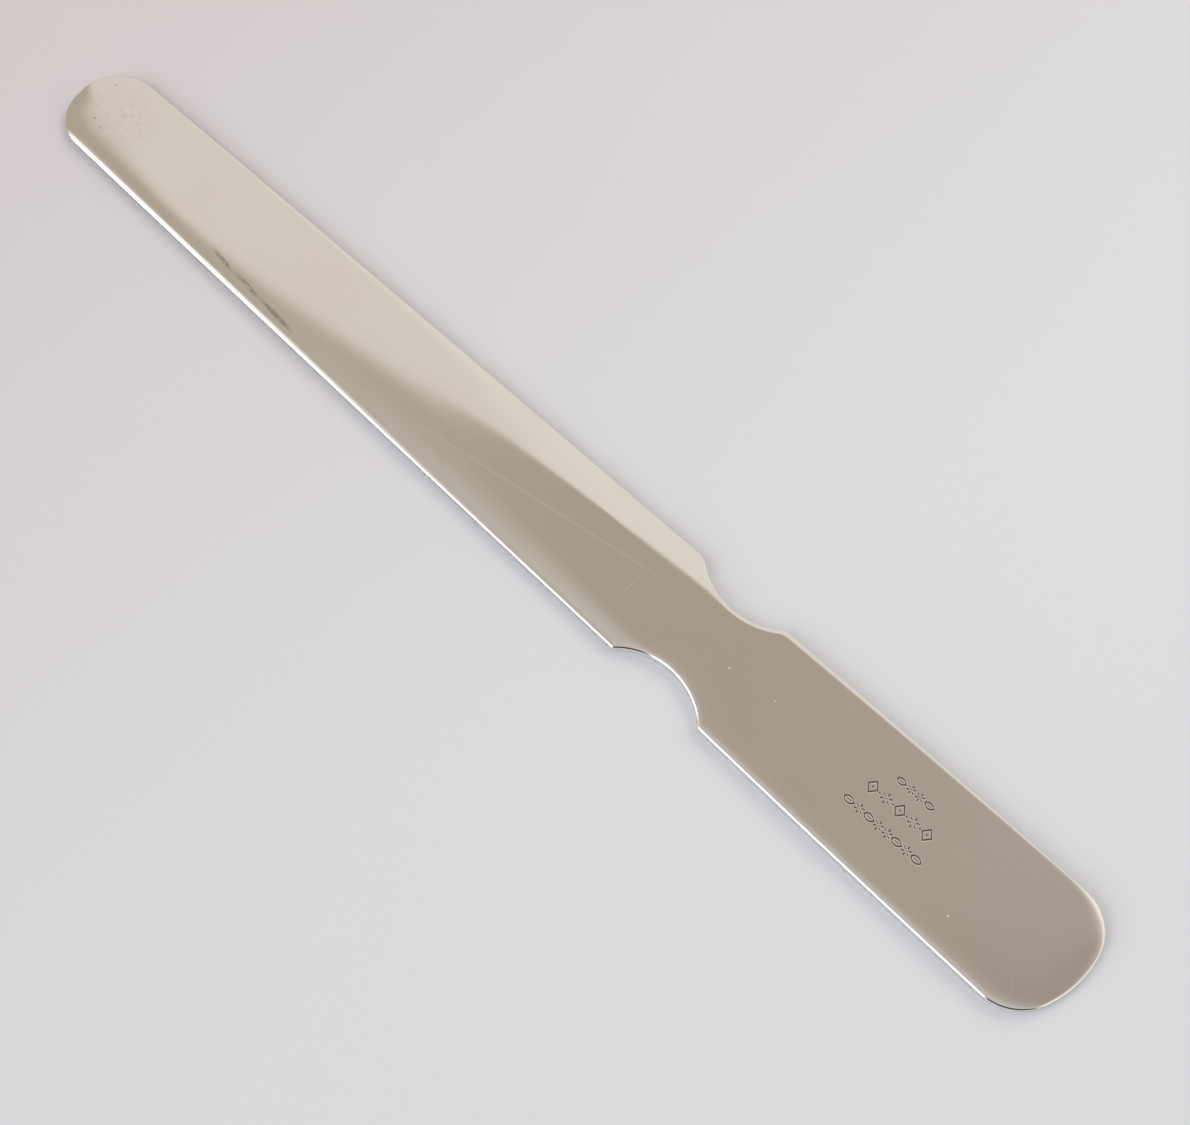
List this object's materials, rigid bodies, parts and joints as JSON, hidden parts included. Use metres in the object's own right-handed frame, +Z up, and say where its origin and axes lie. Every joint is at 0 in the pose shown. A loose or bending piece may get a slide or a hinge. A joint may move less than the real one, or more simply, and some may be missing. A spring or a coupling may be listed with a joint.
{
  "type": "paper knife",
  "caption": "Flat one-piece silver paper knife: a long tapering blade with a rounded tip, a waist between two round notches, and a flat handle with a curved end.",
  "frame": {"origin": "centre of the box around the knife, on the surface it lies on", "axes": "+X along the knife from the tip to the handle's end, +Y across it towards the back edge, +Z up out of the upper face"},
  "size_m": [0.2, 0.0208, 0.0018],
  "materials": {
    "silver": "polished silver with fine hairline scratches, small pits and a faint warm tarnish"
  },
  "bodies": {
    "root": {"paper_knife": "silver"}
  },
  "joints": []
}
